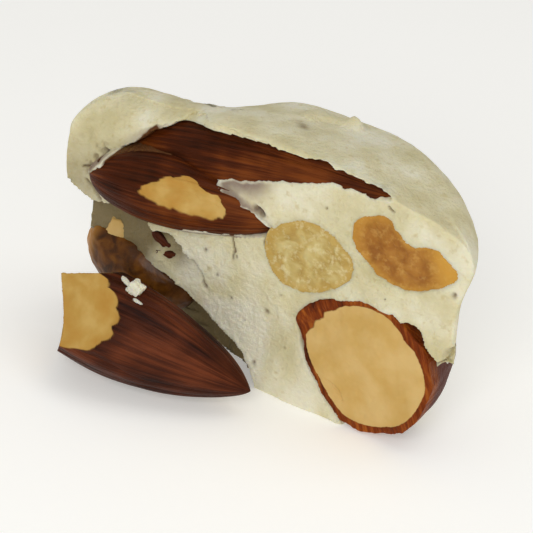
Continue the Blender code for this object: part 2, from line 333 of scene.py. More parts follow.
def almond_girth(t):
    """How wide an almond is at t of its length, as a share of its greatest width."""
    t = np.clip(t, 0.0, 1.0)
    return t**ROUND_POWER * (1.0 - t) ** TIP_POWER / WIDEST_VALUE


def almond_axes(sizes):
    """The almond's length, and its long, thin and wide directions after its roll."""
    blunt, tip = np.array(sizes["blunt"]), np.array(sizes["tip"])
    length = np.linalg.norm(tip - blunt)
    along = (tip - blunt) / length
    thin = np.array([0.0, 1.0, 0.0]) - along[1] * along
    thin /= np.linalg.norm(thin)
    wide = np.cross(along, thin)
    roll = math.radians(sizes["roll"])
    c, s = math.cos(roll), math.sin(roll)
    return length, along, c * thin + s * wide, c * wide - s * thin


def almond_grid(sizes, rows, columns, ridge=0.12, seed=3):
    """Rings along an almond: girth times a circle squeezed to width and thickness, less the ridges.

    Returns the points and, for each, its place along and round the almond in mm, on a tube of even
    girth, so that the skin's streaks follow it and meet at the tip.
    """
    length, along, thin, wide = almond_axes(sizes)
    t = (1.0 - np.cos(np.linspace(0.0, math.pi, rows))) / 2.0
    angle = np.linspace(0.0, 2.0 * math.pi, columns, endpoint=False)
    t, angle = np.meshgrid(t, angle, indexing="ij")
    girth = almond_girth(t)
    half_thin, half_wide = sizes["thick"] / 2.0, sizes["width"] / 2.0
    c, s = np.cos(angle), np.sin(angle)
    wander = 0.5 * noise(6.0 * t, 1.5 * c, 1.5 * s, 1.0, seed)
    wander = wander + 0.25 * noise(14.0 * t, 3 * c, 3 * s, 1.0, seed + 1)
    groove = np.abs(np.sin(8.5 * angle + 2.2 * wander)) ** 0.6
    fine = noise(4.0 * t, 9.0 * c, 9.0 * s, 1.0, seed + 2)
    lump = noise(3.0 * t, 1.2 * c, 1.2 * s, 1.0, seed + 3)
    depth = ridge * (1.0 - groove) * (0.6 + 0.8 * wander) + 0.35 * ridge * fine - 1.6 * ridge * lump
    fade = smooth(0.0, 0.12, t) * smooth(1.0, 0.93, t)
    half = np.minimum(half_thin, half_wide)
    swell = girth * (1.0 - depth * fade / half)
    local = np.stack([(t - 0.5) * length, c * swell * half_thin, s * swell * half_wide], axis=-1)
    middle = (np.array(sizes["blunt"]) + np.array(sizes["tip"])) / 2.0
    points = middle + local @ np.stack([along, thin, wide])
    grain = np.stack([(t - 0.5) * length, c * half_thin, s * half_wide], axis=-1)
    return points, grain


print("an almond is widest at", round(WIDEST, 2), "of its length")

# %% [markdown]
# The nougat has to know where the almonds in it lie, so that it can cover them with a thin film. A
# straight look at the almond from the front gives that depth. Then come the measures of the three
# almonds, in mm: the round end, the tip, the width, the thickness and the roll in degrees.

# %% Where the almonds lie
MISSED = 99.0


def almond_front(sizes, x, z):
    """The y at which a straight look along +Y at (x, z) meets the almond, or MISSED; and its axis's y.

    The almond lies nearly along X: (x, z) gives the place along it and the height beside its axis,
    and the front lies thickness/2 times the root of 1 minus the squared height before the axis.
    """
    blunt, tip = np.array(sizes["blunt"]), np.array(sizes["tip"])
    run = (tip - blunt)[[0, 2]]
    flat = np.linalg.norm(run)
    t = ((x - blunt[0]) * run[0] + (z - blunt[2]) * run[1]) / flat**2
    side = ((z - blunt[2]) * run[0] - (x - blunt[0]) * run[1]) / flat
    girth = almond_girth(t)
    reach = np.where(girth > 0.02, side / (girth * sizes["width"] / 2.0 + TINY), MISSED)
    axis = blunt[1] + np.clip(t, 0, 1) * (tip[1] - blunt[1])
    front = axis - sizes["thick"] / 2.0 * girth * np.sqrt(np.clip(1.0 - reach**2, 0.0, 1.0))
    return np.where(np.abs(reach) < 1.0, front, MISSED), axis


def almond(blunt, tip, width, thick, roll):
    """One almond's measures: its two ends, its greatest width and thickness, and its roll in degrees."""
    return {"blunt": blunt, "tip": tip, "width": width, "thick": thick, "roll": roll}


ALMOND_TOP = almond((-15.8, 3.4, 17.6), (12.2, 0.9, 22.6), 6.7, 5.4, 0)
ALMOND_SCRAPED = almond((-16.5, -1.0, 16.0), (3.2, 1.4, 16.8), 6.5, 5.4, 8)
ALMOND_LOOSE = almond((-19.0, -7.4, 6.9), (3.0, -4.0, 2.65), 9.6, 8.6, 0)
for sizes in (ALMOND_TOP, ALMOND_SCRAPED, ALMOND_LOOSE):
    print("almond", round(almond_axes(sizes)[0], 1), "mm long")

# %% [markdown]
# ## The nougat's outside
#
# The outside is a grid. Going round, the columns follow the plan of the piece: straight along the
# cut face, then round the arc of the puck. Going up, the rows start at the middle of the base, turn
# the lower edge, climb the wall, turn the upper edge and close at the middle of the top. The
# hand-pressed form, with its low dome, its sag and its fold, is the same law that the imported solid
# follows.

# %% Pressed form of the puck
DOME_RISE = 0.6
BACK_SLOPE = 3.4
LEFT_SAG = 1.3
RIGHT_SAG = 2.0
FOLD_DEPTH = 0.9
LEFT_LOBE = 0.9
RIGHT_LOBE = 0.9
LIP_ROUNDING = 4.2
FOOT_LIP = 0.7
FOOT_TUCK = 2.4
WALL_LUMPS = 0.28
FACE_LUMPS = 0.22
FACE_SWELL, FACE_DENT = 0.9, 0.5


def nougat_form(x, y, z):
    """Turns the plain half puck into the hand-pressed piece.

    The top rises in a low dome, sags to the right and has a fold behind the left lobe. The front
    edge rolls over at the left, where the nougat tore. The wall is lumpy and its foot is squeezed
    out in a ragged lip, and the base stays flat.
    """
    top = smooth(0.35 * PUCK_HEIGHT, PUCK_HEIGHT, z)
    above = smooth(0.4, 3.0, z)
    rise = DOME_RISE * bump(x, -1.0, 13.0) * bump(y, 3.0, 5.0)
    slope = BACK_SLOPE * smooth(1.0, 12.0, y) * (0.15 + 0.85 * smooth(-1.0, -13.0, x))
    sag = RIGHT_SAG * smooth(6.5, 19.0, x) * (1.0 - 0.6 * smooth(2.0, 9.0, y))
    sag = sag + LEFT_SAG * smooth(-4.0, -12.0, x)
    fold = FOLD_DEPTH * bump(x + 0.15 * y, -8.6, 1.5) * smooth(1.0, 7.0, y)
    new_z = z + top * (rise - slope - sag - fold)
    corner = smooth(9.0, 17.0, x) * smooth(9.0, 2.0, y)
    new_z = new_z + FOOT_TUCK * corner * smooth(9.0, 0.0, z)

    radius = np.hypot(x, y + CUT_OFFSET)
    wall = smooth(0.72 * PUCK_RADIUS, 0.96 * PUCK_RADIUS, radius)
    angle = np.arctan2(y + CUT_OFFSET, x)
    ragged = 0.55 + 0.45 * np.sin(5.0 * angle + 1.3 * np.sin(11.0 * angle))
    push = WALL_LUMPS * waves(x, y, z, 5.5) * above + FOOT_LIP * ragged * bump(z, 0.6, 1.5)
    push = push + LEFT_LOBE * smooth(-9.0, -18.0, x) * bump(z, 16.5, 6.0)
    push = push + RIGHT_LOBE * smooth(4.0, 14.0, x) * smooth(15.0, 21.0, z)
    push = push - FOOT_TUCK * corner * smooth(7.0, 1.0, z)
    new_x = x * (1.0 + wall * push / radius)
    new_y = (y + CUT_OFFSET) * (1.0 + wall * push / radius) - CUT_OFFSET

    front = np.clip(1.0 - y / 13.0, 0.0, 1.0)
    depth = np.clip(z - (PUCK_HEIGHT - LIP_ROUNDING), 0.0, 0.96 * LIP_ROUNDING)
    roll = LIP_ROUNDING - np.sqrt(LIP_ROUNDING**2 - depth**2)
    left = smooth(-5.0, -9.5, x)
    swell = FACE_SWELL * bump(x, 0.0, 4.0) * bump(z, 18.0, 2.5)
    dent = FACE_DENT * bump(x, 1.5, 3.0) * bump(z, 5.0, 4.0)
    skin = FACE_LUMPS * waves(x, z, y, 3.4) * above
    face = smooth(3.0, 0.0, y)
    new_y = new_y + front * left * roll + face * (dent + skin - swell)
    return new_x, new_y, new_z


print("the back of the top lies", BACK_SLOPE, "mm lower than its front")

# %% [markdown]
# From above the piece is a D: the chord is the cut face and the arc is the pressed side. The chord
# has finer steps than the arc, because the torn face needs them, and the two corners are softened
# by averaging neighbours.

# %% Plan of the half puck
FACE_STEP = 0.14
ARC_STEP = 0.45
CORNER_PASSES = 6
TOP_ROUNDING, FOOT_ROUNDING = 3.8, 1.3
FACE_TOP_EDGE, FACE_FOOT_EDGE = 0.5, 0.4
CAP_CENTRE = np.array([0.0, 6.0])


def plan_of_piece():
    """The D-shaped plan, counter-clockwise from above: the chord left to right, then the arc back.

    Returns the points and, for each, a number that is 1 on the chord and 0 on the arc.
    """
    chord_x = np.arange(-half_chord, half_chord, FACE_STEP)
    chord = np.stack([chord_x, np.zeros_like(chord_x)], axis=-1)
    start = math.asin(CUT_OFFSET / PUCK_RADIUS)
    turn = np.linspace(start, math.pi - start, int((math.pi - 2 * start) * PUCK_RADIUS / ARC_STEP))
    arc = PUCK_RADIUS * np.stack([np.cos(turn), np.sin(turn)], axis=-1) - [0.0, CUT_OFFSET]
    plan = np.concatenate([chord, arc])
    on_chord = np.concatenate([np.ones(len(chord)), np.zeros(len(arc))])
    for _ in range(CORNER_PASSES):
        plan = (np.roll(plan, 1, 0) + 2.0 * plan + np.roll(plan, -1, 0)) / 4.0
        on_chord = (np.roll(on_chord, 1) + 2.0 * on_chord + np.roll(on_chord, -1)) / 4.0
    return plan, on_chord


plan, on_chord = plan_of_piece()
print("plan:", len(plan), "columns,", int(on_chord.sum()), "of them on the cut face")

# %% [markdown]
# The rows are written as two numbers each: how far the row has moved in from the wall, and how high
# it is. On the cut face the upper and lower edges are crisp, because a knife made them. Round the
# puck they are soft, because the nougat was pressed in a ring. The cut goes through that soft rim
# too, so the face is lower at its two ends, and its columns are squeezed to the rim's height.

# %% The plain half puck as a grid
BASE_ROWS, FOOT_ROWS, WALL_ROWS, EDGE_ROWS, TOP_ROWS = 7, 5, 158, 9, 30


def profile(edge, foot):
    """Inset and height of each row: base, quarter circle, wall, quarter circle, top."""
    quarter = np.linspace(0.0, math.pi / 2, FOOT_ROWS + 1)[1:]
    low_in, low_up = foot * (1 - np.sin(quarter)), foot * (1 - np.cos(quarter))
    wall_up = np.linspace(foot, PUCK_HEIGHT - edge, WALL_ROWS + 1)[1:]
    quarter = np.linspace(0.0, math.pi / 2, EDGE_ROWS + 1)[1:]
    high_in, high_up = edge * (1 - np.cos(quarter)), PUCK_HEIGHT - edge * (1 - np.sin(quarter))
    base, top = np.ones(BASE_ROWS), np.ones(TOP_ROWS)
    inset = np.concatenate([foot * base, low_in, 0.0 * wall_up, high_in, edge * top])
    height = np.concatenate([0.0 * base, low_up, wall_up, high_up, PUCK_HEIGHT * top])
    return inset, height


def rim_height(x, y):
    """Height of the puck's top at (x, y): flat in the middle, a quarter circle down at the rim."""
    out = np.clip(np.hypot(x, y + CUT_OFFSET) - (PUCK_RADIUS - TOP_ROUNDING), 0.0, TOP_ROUNDING)
    return PUCK_HEIGHT - TOP_ROUNDING + np.sqrt(TOP_ROUNDING**2 - out**2)


def puck_grid():
    """Every column of the plan carried up its own profile, then pulled in towards the cap's centre.

    Returns x, y, z and a number that runs from 0 at the rim to 1 at the middle of the base and top.
    """
    face_in, face_up = profile(FACE_TOP_EDGE, FACE_FOOT_EDGE)
    ring_in, ring_up = profile(TOP_ROUNDING, FOOT_ROUNDING)
    inset = ring_in[:, None] + (face_in - ring_in)[:, None] * on_chord
    height = ring_up[:, None] + (face_up - ring_up)[:, None] * on_chord
    inwards = CAP_CENTRE - plan
    share = inset / np.linalg.norm(inwards, axis=1)
    rise = np.zeros(FOOT_ROWS + WALL_ROWS + EDGE_ROWS)
    base = np.linspace(1.0, 0.0, BASE_ROWS, endpoint=False)
    top = np.linspace(0.0, 1.0, TOP_ROWS + 1)[1:]
    middle = np.concatenate([base, rise, top])[:, None]
    share = share + (1.0 - share) * middle
    x = plan[:, 0] + share * inwards[:, 0]
    y = plan[:, 1] + share * inwards[:, 1]
    squeeze = np.where(height < PUCK_HEIGHT, on_chord * height / PUCK_HEIGHT, 1.0)
    return x, y, height - squeeze * (PUCK_HEIGHT - rim_height(x, y)), middle


x, y, z, middle = puck_grid()
print("grid:", x.shape[0], "rows by", x.shape[1], "columns")

# %% [markdown]
# ## The torn recess
#
# Above the hollow at the lower left, a slab of nougat tore away together with the corner, so the lobe
# above it overhangs. The recess has a crisp, ragged upper edge and gets shallower to the right. Its
# points move back to the recess's depth, and where that would leave them outside the round wall,
# they also move in to the wall.

# %% Recess at the left
RECESS_EDGE = [
    (-22.0, 13.6), (-19.3, 13.2), (-18.4, 12.6), (-16.6, 12.4), (-14.8, 12.9), (-13.0, 13.0),
    (-11.4, 12.7), (-10.4, 11.9), (-8.7, 11.9), (-7.0, 10.6), (-5.6, 10.0), (-4.8, 8.9), (-5.8, 8.4),
    (-8.0, 7.4), (-12.0, 7.2), (-16.0, 6.0), (-22.0, 5.0),
]
OVERHANG = [
    (-13.0, 13.0), (-11.4, 12.7), (-10.4, 11.9), (-8.7, 11.9), (-7.0, 10.6), (-5.6, 10.0), (-4.9, 8.9),
]
RECESS_DEPTH = [
    (-20.0, 2.6), (-16.0, 2.5), (-13.0, 1.9), (-10.0, 1.2), (-7.0, 0.8), (-4.9, 0.3),
]
WALL_PLAY = 0.25


def sink_recess(x, y, z):
    """Moves points inside the recess's outline back to its depth; returns them and the way they went."""
    ragged = 0.22 * rough(x, 0.0, z, 1.2, 81) + 0.12 * noise(x, 0.0, z, 0.4, 85)
    edge = signed_distance(x, z, RECESS_EDGE) + ragged
    depth = np.interp(x, *np.transpose(RECESS_DEPTH))
    below = smooth(0.3, 2.8, line_distance(x, z, OVERHANG)) * smooth(-13.5, -9.5, x)
    floor = depth * (1.0 - 0.75 * below) + 0.22 * rough(x, 5.0, z, 1.6, 87)
    way = np.clip(floor - y, 0.0, None) * smooth(0.10, -0.16, edge)
    new_y = y + way
    wall = np.sqrt((PUCK_RADIUS + WALL_PLAY) ** 2 - (np.clip(new_y, -5.0, 12.0) + CUT_OFFSET) ** 2)
    new_x = np.where(way > 0.02, np.maximum(x, -wall), x)
    return new_x, new_y, way


x, y, z = nougat_form(x, y, z)
x, y, recessed = sink_recess(x, y, z)
print("deepest place of the recess:", round(float(recessed.max()), 1), "mm")

# %% [markdown]
# ## Hollows
#
# At the lower left one almond has come out and left its hollow, and at the lower right a nut stands
# in the corner. A hollow is an ellipsoid. Each point of the wall that lies in it slides towards the
# middle of the piece until it meets the ellipsoid's far side, so the grid never folds.

# %% Sinking the wall into a hollow
HOLLOW = {"centre": (-12.0, -0.2, 2.2), "half": (13.2, 6.2, 6.3), "turn": 14.0}
CORNER_ROOM = {"centre": (18.8, 1.2, 2.0), "half": (2.8, 5.4, 7.4), "turn": 0.0}


def turned_about_y(degrees):
    """The matrix that turns rows of points about Y: cosine and sine of the angle in X and Z."""
    c, s = math.cos(math.radians(degrees)), math.sin(math.radians(degrees))
    return np.array([[c, 0.0, -s], [0.0, 1.0, 0.0], [s, 0.0, c]])


def sink_into(hollow, x, y, z, ragged):
    """Slides points inside an ellipsoid to where their line to the middle of the piece leaves it.

    With the point and the direction both squeezed so that the ellipsoid is a unit sphere, the
    distance is the root of a quadratic. Returns the new place and how far each point moved.
    """
    turned = turned_about_y(hollow["turn"])
    half = np.array(hollow["half"])
    point = np.stack([x, y, z], axis=-1)
    way = np.stack([CAP_CENTRE[0] - x, CAP_CENTRE[1] - y, 0.0 * z], axis=-1)
    p = (point - hollow["centre"]) @ turned.T / half / (1.0 + ragged)[..., None]
    d = way @ turned.T / half / (1.0 + ragged)[..., None]
    a = (d * d).sum(-1)
    b = (p * d).sum(-1)
    c = (p * p).sum(-1) - 1.0
    root = np.sqrt(np.clip(b * b - a * c, 0.0, None))
    share = np.where(c < 0.0, np.clip((-b + root) / (a + TINY), 0.0, 0.98), 0.0)
    moved = point + share[..., None] * way
    return moved[..., 0], moved[..., 1], moved[..., 2], share * np.linalg.norm(way, axis=-1)


torn = 0.035 * rough(x, y, z, 2.6, 21) + 0.014 * rough(x, y, z, 0.7, 22)
x, y, z, sunk = sink_into(HOLLOW, x, y, z, torn)
x, y, z, tucked = sink_into(CORNER_ROOM, x, y, z, torn)
print("deepest place of the hollow:", round(float(sunk.max()), 1), "mm")

# %% [markdown]
# ## The cut face
#
# Here nougat and nuts meet. Inside each outline the nougat lies below the nut's surface, and outside
# it runs over the nut as a thin film or ends in a small lip. Where the film is thin, the dark skin
# shows through and tints it, so the thickness is kept as an attribute. Cracks, pits and the pores
# that small air bubbles leave are added to the same height field.

# %% Relief of the cut face
FILM = 0.14
BEDDED = ((ALMOND_TOP, TOP_SHOWS), (ALMOND_SCRAPED, SCRAPED_SHOWS))
# Outline of the seam between the two almonds; the nougat inside it gets painted shade.
BETWEEN_ALMONDS = [(-14.6, 17.3), (-12.9, 19.6), (-10.8, 21.2), (-6.0, 21.0), (-6.0, 17.0), (-12.0, 16.0)]
AIRY_SEAM = [(-3.6, 5.0), (-2.0, 3.4), (-0.6, 1.6)]
EDGE_LIPS = ((PALE_SHOWS, 0.02), (ROASTED_SHOWS, 0.05), (CORNER_SHOWS, 0.12))


def face_lumps(x, z):
    """Soft unevenness of the whole cut face, which its flush nuts share."""
    return 0.16 * rough(x, 0.0, z, 2.4, 41) + 0.05 * rough(x, 0.0, z, 0.6, 44)


def torn_grain(x, y, z):
    """Fine relief of the torn face: foam, crumbs, and loose shreds at the left end of the almonds, with
    painted shade where the shreds sink.
    """
    airy = smooth(0.1, 0.7, noise(x, 3.0, z, 3.2, 47)) * smooth(15.0, 6.0, x) * smooth(14.0, 9.0, z)
    airy = airy + bump(line_distance(x, z, AIRY_SEAM), 0.0, 1.1)
    grain = rough(x, 7.0, z, 0.45, 51)
    crumbs = smooth(0.15, 0.8, noise(x, 9.0, z, 0.55, 55)) * smooth(0.0, 0.6, noise(x, 9.0, z, 2.6, 56))
    torn = bump(np.hypot((x + 16.9) / 1.5, (z - 16.2) / 2.4), 0.0, 1.0)
    shreds = np.abs(noise(x, 11.0, z, 0.8, 57)) + 0.5 * np.abs(noise(x, 11.0, z, 0.35, 58))
    y = y + face_lumps(x, z) - airy * 0.14 * np.abs(grain) + 0.045 * grain
    y = y - 0.10 * crumbs + 0.5 * torn * (shreds - 0.3)
    # The last value is painted shade, strongest where the torn shreds sink deepest.
    return y, airy, grain, 0.55 * torn * smooth(0.35, 0.7, shreds)


def bed_almonds(x, y, z, airy, ragged):
    """Film over the two almonds, and the nougat sunk behind them where they show.

    The film is the almond's front less its thickness; its tint follows how near the edge is.
    """
    thin = np.zeros_like(x)
    for sizes, outline in BEDDED:
        front, axis = almond_front(sizes, x, z)
        hit = front < MISSED
        edge = signed_distance(x, z, outline) + ragged
        over = np.minimum(y, front - FILM)
        under = np.where(hit, np.minimum(front + 1.1, axis), y + 0.5)
        near = np.where(hit, bump(np.clip(edge, 0.0, None), 0.0, 1.5), 0.0) * smooth(2.2, -0.5, x)
        thin = np.maximum(thin, near * smooth(2.6, 0.3, front - y))
        airy = airy + 0.6 * bump(edge, 0.15, 0.16) * hit
        y = over + (np.maximum(under, over) - over) * smooth(0.16, -0.1, edge)
    return y, thin, airy


print("film over the almonds:", FILM, "mm")

# %% [markdown]
# Round the cut nuts the nougat ends in a small lip and drops to the nut, with a faint dark ring
# just outside. Pits are the pores that air bubbles left, as (x, z, size), and cracks are short
# lines with a depth and a width. Both are bell-shaped dents, and each gets painted shade in its dent.

# %% Pits and cracks
PORES = [
    (-5.0, 11.9, 0.22), (-3.6, 9.9, 0.17), (1.5, 8.1, 0.25), (0.7, 2.6, 0.2), (18.7, 16.2, 0.24),
    (6.3, 20.0, 0.12), (-1.8, 12.4, 0.15), (3.6, 5.2, 0.1), (-0.6, 6.4, 0.1), (2.9, 10.4, 0.1),
    (12.6, 13.6, 0.1), (-1.9, 8.3, 0.12),
]
CRACKS = [
    ([(-2.2, 14.8), (-2.4, 13.8), (-2.1, 12.9), (-2.2, 12.0)], 0.35, 0.10),
    ([(0.9, 15.6), (0.8, 14.6), (1.2, 13.6)], 0.3, 0.10),
    ([(-6.2, 10.2), (-5.4, 9.5), (-4.7, 8.4)], 0.5, 0.14),
    ([(11.8, 22.0), (12.3, 21.6)], 0.3, 0.09),
    ([(0.1, 18.1), (0.6, 17.7)], 1.2, 0.26),
    ([(-18.2, 15.4), (-17.6, 15.6), (-17.2, 16.0)], 0.4, 0.09),
    ([(-17.7, 14.2), (-17.0, 13.7), (-16.2, 12.9)], 0.5, 0.12),
    ([(-15.8, 17.8), (-15.4, 17.6)], 0.5, 0.16),
]


def pit_face(x, y, z, stain, ragged, grain):
    """Drops the face at the cut nuts with a faint dark ring round each, then dents every pit and crack and
    paints shade into it.
    """
    for outline, lip in EDGE_LIPS:
        edge = signed_distance(x, z, outline) + 0.5 * ragged
        y = y - lip * bump(edge, 0.35, 0.35) * (1.0 + ragged)
        y = y + 1.5 * smooth(0.08, -0.18, edge)
        stain = np.maximum(stain, 0.10 * bump(np.clip(edge, 0.0, None), 0.0, 0.4))
    # Pores and cracks: each dent is darkened with painted shade.
    for px, pz, size in PORES:
        dent = bump(np.hypot((x - px) * 1.2, z - pz) + 0.5 * size * grain, 0.0, size)
        y = y + 0.9 * size * dent
        stain = np.maximum(stain, 0.75 * dent)
    for line, depth, width in CRACKS:
        dent = bump(line_distance(x + 0.5 * ragged, z + 0.2 * grain, line), 0.0, width)
        y = y + depth * dent
        stain = np.maximum(stain, 0.9 * dent)
    return y, stain


def cut_face(x, y, z):
    """Depth of the nougat behind the cut face, with the numbers that its colours follow.

    Returns y, how thin the nougat is over a skin, its stains with painted shade in pits, cracks and seams,
    and how torn and airy it is.
    """
    ragged = 0.24 * rough(x, 0.0, z, 1.3, 31) + 0.12 * noise(x, 0.0, z, 0.4, 35)
    y, airy, grain, stain = torn_grain(x, y, z)
    y, thin, airy = bed_almonds(x, y, z, airy, ragged)
    # Painted shade in the seam between the two almonds, where the nougat sinks behind both.
    between = signed_distance(x, z, BETWEEN_ALMONDS)
    stain = np.maximum(stain, 1.6 * smooth(0.25, -0.05, between + ragged))
    y, stain = pit_face(x, y, z, stain, ragged, grain)
    airy = np.clip(airy, 0.0, 1.0)
    return y, thin * (1.0 - 0.8 * airy), stain, airy


fields = {name: np.zeros_like(x) for name in ("thin", "stain", "airy")}
columns = np.flatnonzero(on_chord > 0.02)
face_x, face_y, face_z = (value[:, columns] for value in (x, y, z))
new_y, thin, stain, airy = cut_face(face_x, face_y, face_z)
held = on_chord[columns] * (1.0 - middle) * smooth(0.5, 0.05, sunk[:, columns])
y[:, columns] = face_y + (new_y - face_y) * held
for name, values in (("thin", thin), ("stain", stain), ("airy", airy)):
    fields[name][:, columns] = values * held
# Painted shade: the nougat is darkened on the lobe's underside, in the torn recess and on the hollow's walls,
# where shade falls.
lobe_underside_shade = 0.4 * smooth(-13.5, -18.0, x) * smooth(19.0, 14.5, z)
recess_shade = 0.95 * smooth(0.2, 1.3, recessed)
fields["hollow"] = np.maximum(smooth(0.1, 1.2, sunk), np.maximum(recess_shade, lobe_underside_shade))
print("face relief from", round(float(new_y.min()), 1), "to", round(float(new_y.max()), 1), "mm")

# %% [markdown]
# The outside of the puck was pressed by hand, so it has faint dents and small blisters. These
# move each point along the outward direction of the plain shape.

# %% Skin of the pressed sides, and the finished nougat
BROAD_DENTS, FINE_DENTS, BLISTERS = 0.16, 0.05, 0.35
CRUMB_ON_TOP = (3.6, 8.6)
SPOT_ON_TOP = (0.6, 5.0)


def outward(x, y, z):
    """Unit normals of the grid, from the cross product of its row and column directions."""
    p = np.stack([x, y, z], axis=-1)
    across = np.roll(p, -1, 1) - np.roll(p, 1, 1)
    up = np.gradient(p, axis=0)
    normal = np.cross(across, up)
    return normal / np.maximum(np.linalg.norm(normal, axis=-1, keepdims=True), TINY)


normal = outward(x, y, z)
pressed = (1.0 - on_chord) * smooth(0.3, 2.5, z) + on_chord * middle * smooth(5.0, 12.0, z)
dents = BROAD_DENTS * rough(x, y, z, 4.5, 61) + FINE_DENTS * rough(x, y, z, 1.1, 64)
blister = BLISTERS * smooth(0.55, 0.95, noise(x, y, z, 2.1, 67))
shift = (dents + blister) * pressed
x, y, z = (value + shift * normal[..., axis] for axis, value in enumerate((x, y, z)))
inside_hollow = 0.10 * rough(x, y, z, 1.0, 71) * smooth(0.3, 1.0, sunk)
x, y, z = (value + inside_hollow * normal[..., axis] for axis, value in enumerate((x, y, z)))
crumb = bump(np.hypot(x - CRUMB_ON_TOP[0], y - CRUMB_ON_TOP[1]), 0.0, 0.8) * smooth(18.0, 21.0, z)
z = z + crumb * (0.7 + 0.4 * noise(x, y, z, 0.7, 75))
across, back = x - SPOT_ON_TOP[0], y - SPOT_ON_TOP[1]
spot = bump(np.hypot(1.4 * across + 0.8 * back, back), 0.0, 0.75) * smooth(20.0, 22.0, z)
fields["stain"] = np.maximum(fields["stain"], 0.6 * spot)
z = np.maximum(z, 0.0)
grid_piece("nougat_piece", np.stack([x, y, z], axis=-1), fields, ("nougat",))

# %% [markdown]
# ## The two almonds in the face
#
# The upper almond lies under the edge of the top, and the lower one was scraped by the knife: part
# of its dark skin is gone and the pale kernel shows. The scraped patch is another outline, this time
# in the plane as the camera sees it, and inside it the surface sinks by the thickness of the skin.

# %% Almonds in the face
SKIN, SCOOP = 0.16, 0.5
KERNEL_SHOWS = [
    (-11.7, 15.3), (-10.6, 16.6), (-9.3, 17.5), (-8.0, 17.9), (-6.2, 18.0), (-5.2, 17.3), (-4.2, 17.4),
    (-3.3, 16.5), (-3.5, 15.4), (-5.4, 14.8), (-7.6, 14.4), (-9.7, 14.5), (-11.6, 14.9),
]


def seen(points):
    """Where a point appears on the cut face to a viewer at the camera's angle."""
    return points[..., 0] + SEEN_RIGHT * points[..., 1], points[..., 2] + SEEN_UP * points[..., 1]


top_points, top_local = almond_grid(ALMOND_TOP, rows=170, columns=230, seed=101)
no_kernel = np.zeros(top_points.shape[:2])
fields = {"grain": top_local, "bare": no_kernel}
grid_piece("almond_upper", top_points, fields, ("almond_top",))

scraped_points, scraped_local = almond_grid(ALMOND_SCRAPED, rows=220, columns=330, seed=111)
seen_x, seen_z = seen(scraped_points)
tear = 0.35 * rough(seen_x, 0.0, seen_z, 1.2, 121) + 0.1 * noise(seen_x, 0.0, seen_z, 0.3, 125)
edge = signed_distance(seen_x, seen_z, KERNEL_SHOWS) + tear
facing = smooth(0.3, -0.4, scraped_points[..., 1])
bare = smooth(0.08, -0.08, edge) * facing
scraped_points[..., 1] += SKIN * bare + SCOOP * smooth(0.0, -2.0, edge) * facing
fields = {"grain": scraped_local, "bare": bare}
grid_piece("almond_lower", scraped_points, fields, ("almond_scraped",))

# %% [markdown]
# ## The loose almond
#
# This almond broke as the piece was cut. One end is gone, and a flat break shows the kernel. Points
# that lie beyond a break are pushed back onto its plane, which leaves a flat face with a crisp edge,
# and the plane is dished a little, as a broken kernel is.

# %% Loose almond
LOOSE_BREAKS = [{"point": (-8.6, -8.7, 7.7), "normal": (-0.2, -0.78, 0.6), "dish": 0.15},
                {"point": (-14.5, -8.0, 5.6), "normal": (-0.88, -0.47, -0.07), "dish": 0.6, "bite": 0.7},
                {"point": (-11.8, -6.0, 9.7), "normal": (-0.33, 0.37, 0.87), "dish": 0.1}]


def break_off(points, bare, cut, seed):
    """Pushes what lies beyond a plane back onto it, dished towards its middle."""
    normal = np.array(cut["normal"]) / np.linalg.norm(cut["normal"])
    offset = points - np.array(cut["point"])
    beyond = offset @ normal + cut.get("bite", 0.0) * bump(offset[..., 2], 0.0, 2.4)
    jag = 0.14 * rough(*np.moveaxis(points, -1, 0), 0.8, seed)
    gone = np.clip(beyond + jag, 0.0, None)
    across = np.linalg.norm(offset - beyond[..., None] * normal, axis=-1)
    dish = cut["dish"] * smooth(4.2, 0.0, across) * smooth(0.0, 0.3, gone)
    grain = 0.05 * rough(*np.moveaxis(points, -1, 0), 1.0, seed + 4) * smooth(0.0, 0.3, gone)
    moved = points - (np.where(beyond + jag > 0.0, beyond, 0.0) + dish + grain)[..., None] * normal
    return moved, np.maximum(bare, smooth(0.02, 0.12, gone))


loose_points, loose_local = almond_grid(ALMOND_LOOSE, rows=240, columns=320, ridge=0.26, seed=131)
bare = np.zeros(loose_points.shape[:2])
for number, cut in enumerate(LOOSE_BREAKS):
    loose_points, bare = break_off(loose_points, bare, cut, 141 + 10 * number)
loose_points[..., 2] = np.maximum(loose_points[..., 2], 0.0)
fields = {"grain": loose_local, "bare": bare}
grid_piece("almond_broken", loose_points, fields, ("almond_loose",))

# %% [markdown]
# ## Cut nuts
#
# A nut that the knife went through shows a flat cut with the outline of its section. The grid starts
# at the middle of the cut, runs out to the outline, turns the edge and closes behind in the nougat.
# A ring's size follows a quarter ellipse, so the hidden back is round.

# %% Nuts that were cut through
def face_surface(x, z):
    """Depth of the cut face at (x, z) with its soft lumps, before nuts and tears."""
    return nougat_form(x, np.zeros_like(x), z)[1] + face_lumps(x, z)


def outline_radius(outline, centre, turn):
    """How far a closed outline lies from its centre in each direction."""
    curve = closed_curve(outline, 24) - np.array(centre)
    angles = np.arctan2(curve[:, 1], curve[:, 0])
    order = np.argsort(angles)
    return np.interp(turn, angles[order], np.hypot(*curve[order].T), period=2 * math.pi)


def half_ellipse(rows):
    """Size and depth, each from 0 to 1, of rings that close a round back."""
    turn = np.linspace(0.0, math.pi / 2, rows + 1)[1:]
    return np.cos(turn), np.sin(turn)


print("round back of", [round(float(v), 2) for v in half_ellipse(3)[0]], "times a nut's size")

# %% [markdown]
# The pale nut's section is round. The roasted one's is shaped like a bean, and its right end is
# golden, because the heat did not reach it.

# %% Pale and roasted nut
UNDER_EDGE, BEHIND_FACE = 0.3, 0.05
GOLDEN_FROM, GOLDEN_TO, GOLDEN_HEIGHT = 15.2, 18.0, 18.0


